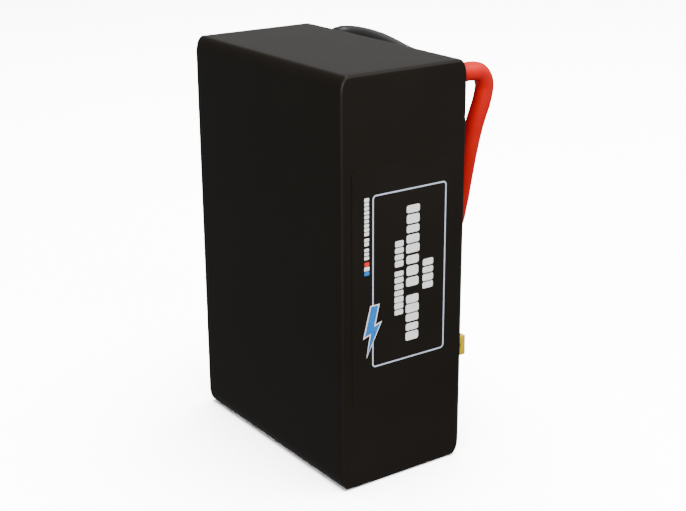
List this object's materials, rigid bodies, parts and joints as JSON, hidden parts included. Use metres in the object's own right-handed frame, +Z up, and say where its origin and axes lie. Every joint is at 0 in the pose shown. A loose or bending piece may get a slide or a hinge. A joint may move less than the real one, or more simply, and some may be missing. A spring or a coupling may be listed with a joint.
{
  "type": "lithium polymer battery pack",
  "caption": "Block of pouch cells in black shrink film, standing on its short end, with a red and a black lead from its back to a yellow two-pole connector.",
  "frame": {"origin": "centre of the pack's base, which rests on its short end", "axes": "+Z up along the pack's height, +X out of the narrow side with the rating label, +Y out of the large side that the leads leave"},
  "size_m": [0.0906, 0.0715, 0.142],
  "materials": {
    "film": "satin black heat-shrink film",
    "label": "black vinyl with a pale print",
    "lead_red": "red silicone rubber",
    "lead_black": "black silicone rubber",
    "connector": "moulded yellow nylon",
    "contact": "gold plated",
    "pouch": "laminated aluminium pouch",
    "tab_aluminium": "bare aluminium strip",
    "tab_nickel": "nickel plated copper strip",
    "copper": "bare copper",
    "tinned": "tinned copper",
    "board": "green solder mask",
    "glass_fibre": "bare glass-fibre laminate",
    "tape_amber": "amber polyimide tape",
    "tape_white": "white double-sided tape",
    "foam": "closed-cell foam",
    "paper": "insulating fish paper",
    "seal": "black rubber"
  },
  "bodies": {
    "root": {"adhesive_sheet_left_1": "tape_white", "adhesive_sheet_left_2": "tape_white", "adhesive_sheet_left_3": "tape_white", "adhesive_sheet_right_1": "tape_white", "adhesive_sheet_right_2": "tape_white", "adhesive_sheet_right_3": "tape_white", "base_pad": "foam", "black_lead": "lead_black", "board_insulator": "paper", "connector_cap": "connector", "connector_housing": "connector", "front_plate": "glass_fibre", "lead_grommet": "seal", "lower_band": "tape_amber", "negative_bus_bar": "copper", "negative_contact": "contact", "negative_lug": "tinned", "negative_tab_left_1": "tab_nickel", "negative_tab_left_2": "tab_nickel", "negative_tab_left_3": "tab_nickel", "negative_tab_left_4": "tab_nickel", "negative_tab_right_1": "tab_nickel", "negative_tab_right_2": "tab_nickel", "negative_tab_right_3": "tab_nickel", "negative_tab_right_4": "tab_nickel", "positive_bus_bar": "copper", "positive_contact": "contact", "positive_lug": "tinned", "positive_tab_left_1": "tab_aluminium", "positive_tab_left_2": "tab_aluminium", "positive_tab_left_3": "tab_aluminium", "positive_tab_left_4": "tab_aluminium", "positive_tab_right_1": "tab_aluminium", "positive_tab_right_2": "tab_aluminium", "positive_tab_right_3": "tab_aluminium", "positive_tab_right_4": "tab_aluminium", "pouch_cell_left_1": "pouch", "pouch_cell_left_2": "pouch", "pouch_cell_left_3": "pouch", "pouch_cell_left_4": "pouch", "pouch_cell_right_1": "pouch", "pouch_cell_right_2": "pouch", "pouch_cell_right_3": "pouch", "pouch_cell_right_4": "pouch", "rating_label": "label", "rear_plate": "glass_fibre", "red_lead": "lead_red", "return_bar": "copper", "series_bus_bar_1": "copper", "series_bus_bar_2": "copper", "series_bus_bar_3": "copper", "shrink_wrap": "film", "stack_divider": "foam", "tab_board": "board", "top_pad": "foam", "upper_band": "tape_amber"}
  },
  "joints": []
}
